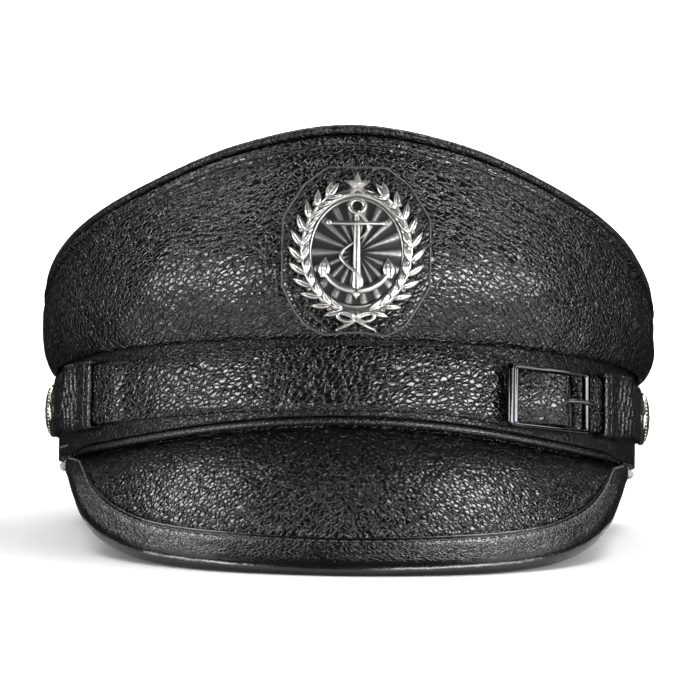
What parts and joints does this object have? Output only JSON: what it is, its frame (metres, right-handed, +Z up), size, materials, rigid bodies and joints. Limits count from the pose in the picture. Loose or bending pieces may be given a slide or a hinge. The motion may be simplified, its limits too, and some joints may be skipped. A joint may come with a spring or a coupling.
{
  "type": "captain hat",
  "caption": "Black leather captain hat with a high front crown, curved visor, buckled chin strap, side buttons and a cast anchor badge.",
  "frame": {"origin": "middle of the footprint on the resting plane, under the middle of the hat's box", "axes": "+Z up from the surface the hat rests on, -Y towards the visor's front, +X towards the side with the buckle"},
  "size_m": [0.1834, 0.2704, 0.119],
  "materials": {
    "leather": "pebbled black leather, satin",
    "smooth_leather": "fine-grained black leather, semi-gloss",
    "keeper_leather": "creased black leather, satin",
    "sweat_leather": "light grey lining leather, matte",
    "dark_chrome": "polished dark chrome",
    "bright_silver": "bright cast silver with darker recesses",
    "aged_silver": "antique silver with dark recesses"
  },
  "bodies": {
    "root": {"crown_wall": "leather", "crown_top": "leather", "headband": "leather", "sweatband": "sweat_leather", "band_piping": "smooth_leather", "visor_panel": "leather", "visor_binding": "smooth_leather", "strap_main": "leather", "strap_end": "leather", "keeper_left": "keeper_leather", "keeper_right": "keeper_leather", "buckle_frame": "dark_chrome", "buckle_prong": "dark_chrome", "button_left": "bright_silver", "button_right": "bright_silver", "badge_patch": "smooth_leather", "badge": "aged_silver"}
  },
  "joints": []
}
